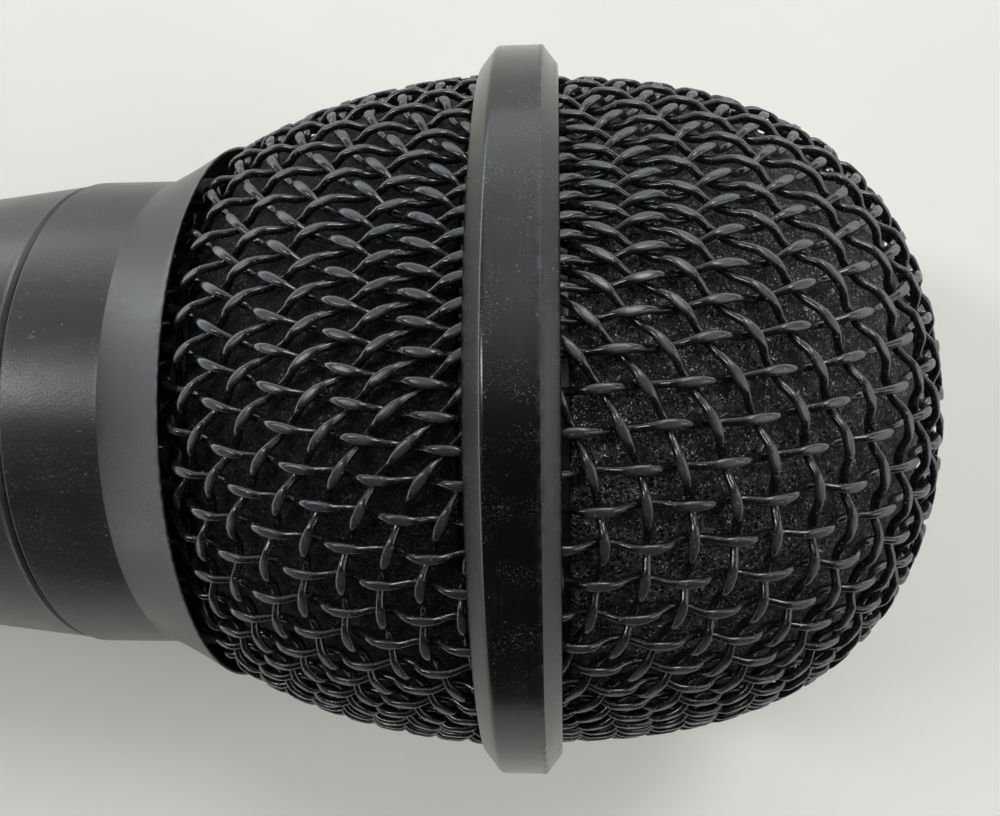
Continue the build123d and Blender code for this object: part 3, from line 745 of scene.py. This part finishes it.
def wholeNet(shell, reach):
    # four quarters, each turned a right angle from the last: crossing (i, j) goes to (-j, i)
    quarter = quarterNet(shell, reach)
    # near the ring the wires crowd less on the bias: each crossing is shifted round by -ease times
    # sin(4 angle) / 4, in full at the rim and not at all at the tip
    azimuth = np.arctan2(quarter[..., 2], quarter[..., 1])
    rimShare = 1 - np.abs(quarter[..., 0] - shell["centre"]) / shell["length"]
    azimuth = azimuth - shell["ease"] * rimShare * np.sin(4 * azimuth) / 4
    radius = np.hypot(quarter[..., 1], quarter[..., 2])
    quarter = np.stack([quarter[..., 0], radius * np.cos(azimuth), radius * np.sin(azimuth)], -1)
    net = np.full((2 * reach + 1, 2 * reach + 1, 3), np.nan)
    i, j = np.meshgrid(np.arange(reach + 1), np.arange(reach + 1), indexing="ij")
    for quarters in range(4):
        net[i + reach, j + reach] = turnAboutAxis(quarter, shell["turn"] + 90 * quarters)
        i, j = -j, i
    jitter = np.random.default_rng(shell["seed"]).normal(0, weave["unevenness"], net.shape)
    return net + jitter


def smoothPath(knots, steps):
    # Catmull-Rom curve: between two knots it is a cubic, whose slope at each is half the way from the knot
    # before it to the knot after it
    ends = np.vstack([2 * knots[:1] - knots[1:2], knots, 2 * knots[-1:] - knots[-2:-1]])
    t = np.arange((len(knots) - 1) * steps + 1) / steps
    k = np.minimum(t.astype(int), len(knots) - 2)
    f = (t - k)[:, None]
    p0, p1, p2, p3 = ends[k], ends[k + 1], ends[k + 2], ends[k + 3]
    path = 0.5 * (2 * p1 + (p2 - p0) * f + (2 * p0 - 5 * p1 + 4 * p2 - p3) * f ** 2
                  + (3 * p1 - p0 - 3 * p2 + p3) * f ** 3)
    return path, t


def runs(mask):
    # (start, end) of each unbroken stretch of True
    edges = np.flatnonzero(np.diff(np.concatenate([[0], mask.astype(int), [0]])))
    return list(zip(edges[::2], edges[1::2]))


def settle(path, shell):
    # onto the shell along its normal, by value / |gradient|^2 of the gradient, then the bowl's rim is drawn
    # in behind the lip of the collar, by depth times the smooth step of its share of the way
    for _ in range(3):
        value, gradient = surfaceValue(path, shell)
        path = path - (value / (gradient ** 2).sum(-1))[..., None] * gradient
    gradient = surfaceValue(path, shell)[1]
    normal = gradient / np.linalg.norm(gradient, axis=-1, keepdims=True)
    if shell["side"] < 0:
        r = np.hypot(path[:, 1], path[:, 2])
        share = np.clip((tuck["from"] - path[:, 0]) / tuck["over"], 0, 1)
        wanted = np.maximum(r - tuck["depth"] * share ** 2 * (3 - 2 * share), np.minimum(r, tuck["least"]))
        path = np.column_stack([path[:, 0], path[:, 1:] * (wanted / r)[:, None]])
    return path, normal


def wireTube(knots, phase, shell):
    # one wire: round section on a path that swings out and in by a steepened cosine, crowns pressed flat
    sides, radius, swing = weave["sides"], weave["diameter"] / 2, weave["swing"]
    path, t = smoothPath(knots, weave["steps"])
    path, normal = settle(path, shell)
    inside = (path[:, 0] > shell["from"]) & (path[:, 0] < shell["to"])
    wave = np.tanh(weave["straightness"] * np.cos(np.pi * (t + phase))) / math.tanh(weave["straightness"])
    middle = path + (swing * wave)[:, None] * normal
    tangent = np.gradient(middle, axis=0)
    tangent /= np.linalg.norm(tangent, axis=1, keepdims=True)
    across = np.cross(tangent, normal)
    across /= np.linalg.norm(across, axis=1, keepdims=True)
    upward = np.cross(across, tangent)
    turn = (np.arange(sides) + 0.5) * 2 * np.pi / sides
    pressing = np.clip((wave - weave["widensFrom"]) / weave["widensOver"], 0, 1)
    wider = 1 + weave["spread"] * pressing[:, None, None]
    cosine, sine = np.cos(turn)[None, :, None], np.sin(turn)[None, :, None]
    points = middle[:, None] + radius * (across[:, None] * cosine * wider + upward[:, None] * sine)
    height = ((points - path[:, None]) * normal[:, None]).sum(-1)
    limit = swing + radius - weave["pressed"]
    points = points - np.maximum(height - limit, 0)[..., None] * normal[:, None]
    crown = np.clip((height - (limit - weave["crownEdge"])) / weave["crownEdge"], 0, 1)
    return [(points[a:b], crown[a:b]) for a, b in runs(inside) if b - a > weave["shortest"]]


def joinTubes(name, tubes):
    # all wires of one direction as one mesh, each closed by strips of faces across its ends
    sides = weave["sides"]
    points, crowns, faces, count = [], [], [], 0
    across = np.arange(sides // 2 - 1)
    cap = np.stack([across, across + 1, sides - 2 - across, sides - 1 - across], -1)
    for tube, crown in tubes:
        rows = len(tube)
        faces += [gridQuads(rows, sides, wrapColumns=True) + count,
                  cap[:, ::-1] + count, cap + count + (rows - 1) * sides]
        points.append(tube.reshape(-1, 3))
        crowns.append(crown.ravel())
        count += rows * sides
    piece = buildMesh(name, np.concatenate(points), np.concatenate(faces))
    giveAttribute(piece, "crown", np.concatenate(crowns))
    print(name, len(tubes), "wires,", 2 * sum(len(f) for f in faces), "triangles")
    return piece


def buildShell(name, shell):
    # lines of the net one way are the warp, lines the other way the weft
    reach = weave["reach"]
    net = wholeNet(shell, reach)
    for family, lines in (("warp", net.transpose(1, 0, 2)), ("weft", net)):
        tubes = []
        for number, line in enumerate(lines):
            for start, end in runs(np.isfinite(line).all(1)):
                if end - start > 1:
                    # crossings with an even sum have the warp outside, odd ones the weft
                    phase = start - reach + number - reach + (0 if family == "warp" else 1)
                    tubes += wireTube(line[start:end], phase, shell)
        piece = joinTubes(f"{name}_{family}_wires", tubes)
        piece.data.materials.append(coatedWire)
        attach(piece, "grille")
        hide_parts(shell["node"])


for shellName, shellSizes in shells.items():
    buildShell(shellName, shellSizes)
print("wires woven")


foam = {
    "insetFromWires": 0.88,   # from the middle surface of the wires to the foam
    "thickness": 2.4,
    "relief": 0.16,
    "poreSize": 0.75, "poreSeed": 1.7,
    "finePores": 0.45, "fineSeed": 5.1, "fineShare": 0.5,   # smaller pores, as shares of the main ones
    "level": 0.75, "most": 0.6,                             # of the relief: its middle and its limit
    "backRelief": 0.4, "backEvery": 6,                      # the hidden side is smoother and coarser
    "around": 560,
    "rowStep": 0.25,
    "domeFrom": 137.0,
    "bowlStations": (114.7, 131.1),
}
# for a random point in each cube of a lattice: the fraction of scale * sin(cube . column)
hashColumns = np.array([[127.1, 269.5, 113.5], [311.7, 183.3, 271.9], [74.7, 246.1, 124.6]])
hashScale = 43758.5453


def cellDistance(points, size, seed):
    # distance to the nearest of one random point in each cube of a lattice, in cubes
    scaled = points / size
    base = np.floor(scaled)
    nearest = np.full(len(points), np.inf)
    for dx in (-1, 0, 1):
        for dy in (-1, 0, 1):
            for dz in (-1, 0, 1):
                cube = base + (dx, dy, dz)
                jitter = np.sin(cube @ hashColumns + seed) * hashScale
                jitter -= np.floor(jitter)
                nearest = np.minimum(nearest, np.linalg.norm(cube + jitter - scaled, axis=1))
    return nearest


def shellOutline(shell, inset, angles):
    # x = centre + length cos^(2/n), r = radius sin^(2/n), both set in by inset
    length, radius, power = shell["length"] - inset, shell["radius"] - inset, shell["power"]
    x = shell["side"] * length * np.cos(angles) ** (2 / power)
    return np.stack([shell["centre"] + x, radius * np.sin(angles) ** (2 / power)], -1)


def evenly(outline, step):
    # the same line with points one step apart
    lengths = np.concatenate([[0], np.cumsum(np.linalg.norm(np.diff(outline, axis=0), axis=1))])
    places = np.linspace(0, lengths[-1], max(2, int(lengths[-1] / step)) + 1)
    return np.stack([np.interp(places, lengths, outline[:, k]) for k in (0, 1)], -1)


def crumpled(points, outward, strength):
    # foam skin: moved out by the level less the distance to the nearest pore, coarse and fine added up
    pits = cellDistance(points, foam["poreSize"], foam["poreSeed"])
    finer = cellDistance(points, foam["poreSize"] * foam["finePores"], foam["fineSeed"])
    relief = np.clip(foam["level"] - (pits + foam["fineShare"] * finer), -foam["most"], foam["most"])
    return points + (strength * foam["relief"] * relief)[:, None] * outward


def turnedGrid(line, angle):
    # (x, r) at angle a goes to (x, r cos a, r sin a), row by row
    x, r = np.repeat(line[:, :1], len(angle), 1), line[:, 1:2]
    return np.stack([x, r * np.cos(angle), r * np.sin(angle)], -1).reshape(-1, 3)


def buildFoam(name, shell, node, closedTip):
    # the shell's outline set in behind the wires and again by the thickness, turned about the axis
    columns = foam["around"]
    angles = np.linspace(0, np.pi / 2, 3000)
    outer = shellOutline(shell, foam["insetFromWires"], angles)
    if closedTip:
        outer = outer[outer[:, 0] > foam["domeFrom"]]
    else:
        low, high = foam["bowlStations"]
        outer = outer[(outer[:, 0] > low) & (outer[:, 0] < high)]
    outer = evenly(outer, foam["rowStep"])
    slope = np.gradient(outer, axis=0)
    outerOut = np.stack([slope[:, 1], -slope[:, 0]], -1) * shell["side"]
    outerOut /= np.linalg.norm(outerOut, axis=1, keepdims=True)
    coarse = slice(None, None, foam["backEvery"])
    inner = (outer - foam["thickness"] * outerOut)[coarse][::-1]
    innerOut = -outerOut[coarse][::-1]
    if closedTip:
        # the rows at the tip are left out: a point on the axis closes each side
        inner[:, 1] = np.maximum(inner[:, 1], 0)
        tips = np.array([[outer[0, 0], 0, 0], [outer[0, 0] - foam["thickness"], 0, 0]])
        outer, outerOut, inner, innerOut = outer[1:], outerOut[1:], inner[:-1], innerOut[:-1]
    outline, outward = np.vstack([outer, inner]), np.vstack([outerOut, innerOut])
    strength = np.concatenate([np.ones(len(outer)), np.full(len(inner), foam["backRelief"])])
    angle = np.linspace(0, 2 * np.pi, columns, endpoint=False)
    rows = len(outline)
    points = crumpled(turnedGrid(outline, angle), turnedGrid(outward, angle), np.repeat(strength, columns))
    quads = gridQuads(rows, columns, wrapRows=not closedTip, wrapColumns=True)
    triangles = None
    if closedTip:
        points = np.vstack([points, tips])
        first, last = np.arange(columns), (rows - 1) * columns + np.arange(columns)
        pole = rows * columns
        triangles = np.vstack([
            np.stack([np.full(columns, pole), np.roll(first, -1), first], -1),
            np.stack([last, np.roll(last, -1), np.full(columns, pole + 1)], -1),
        ])
    else:
        quads = quads[:, ::-1]   # so that each splits along its other diagonal
    piece = buildMesh(name, points, quads, triangles)
    piece.data.materials.append(windscreenFoam if closedTip else paintedShadeFoam)
    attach(piece, "foam_liner")
    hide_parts(node)
    print(name, 2 * len(quads), "triangles")


buildFoam("dome_windscreen_foam", shells["dome"], "dome_foam", True)
buildFoam("bowl_windscreen_foam", shells["bowl"], "bowl_foam", False)
print("foam made")


# pieces kept from the frame: two tones, roughness, and what else plainFinish takes
plainLooks = {
    "barrel_metal": ((0.30, 0.29, 0.28), (0.42, 0.41, 0.40), 0.34,
                     {"metal": 1.0, "size": 2.5, "pattern": "turned"}),
    "black_plastic": ((0.012, 0.012, 0.013), (0.022, 0.022, 0.022), 0.46, {"size": 1.5}),
    "contact_metal": ((0.72, 0.53, 0.22), (0.80, 0.62, 0.30), 0.24,
                      {"metal": 1.0, "size": 1.2, "pattern": "turned", "depth": 0.002}),
    "rubber": ((0.010, 0.010, 0.010), (0.020, 0.020, 0.019), 0.72, {"size": 2.0, "depth": 0.01}),
    "black_steel": ((0.05, 0.05, 0.052), (0.09, 0.088, 0.085), 0.40, {"metal": 1.0, "size": 0.8}),
    "wire_sleeve": ((0.30, 0.02, 0.015), (0.38, 0.03, 0.02), 0.42, {"size": 2.5, "depth": 0.003}),
    "core_steel": ((0.24, 0.24, 0.25), (0.34, 0.34, 0.35), 0.42,
                   {"metal": 1.0, "size": 1.5, "stretch": (1, 1, 14), "depth": 0.006}),
    "copper": ((0.55, 0.20, 0.09), (0.68, 0.28, 0.13), 0.30,
               {"metal": 1.0, "size": 1.0, "pattern": "wound", "depth": 0.01}),
    "brass": ((0.58, 0.42, 0.16), (0.68, 0.52, 0.24), 0.30, {"metal": 1.0, "size": 1.0, "pattern": "turned"}),
    "chamber_aluminium": ((0.55, 0.55, 0.56), (0.66, 0.66, 0.67), 0.36,
                          {"metal": 1.0, "size": 3.0, "pattern": "turned"}),
    "board_laminate": ((0.16, 0.09, 0.035), (0.22, 0.13, 0.05), 0.5,
                       {"size": 0.8, "pattern": "woven", "depth": 0.004}),
    "screen_cloth": ((0.06, 0.06, 0.06), (0.12, 0.12, 0.115), 0.8,
                     {"size": 1.0, "pattern": "woven", "depth": 0.02}),
    "magnet_metal": ((0.42, 0.42, 0.43), (0.55, 0.55, 0.56), 0.28, {"metal": 1.0, "size": 1.6}),
    "membrane_film": ((0.50, 0.47, 0.38), (0.60, 0.57, 0.47), 0.22, {"size": 2.0, "depth": 0.002}),
}
finishes = {
    name: plainFinish(name, first, second, roughness, **rest)
    for name, (first, second, roughness, rest) in plainLooks.items()
}
finishes["handle_paint"] = handlePaint
finishes["ring_enamel"] = ringEnamel
finishes["mesh_wire"] = coatedWire
finishes["foam"] = windscreenFoam

for name, node in nodes.items():
    for slot in node.material_slots:
        wanted = slot.material.name.split(".")[0]
        if wanted not in finishes:
            print("no finish named", wanted, "for", name)
        slot.material = finishes.get(wanted, finishes["black_steel"])
    if not node.material_slots:
        print("no slot on", name)
print("finishes given to", len(nodes), "nodes")
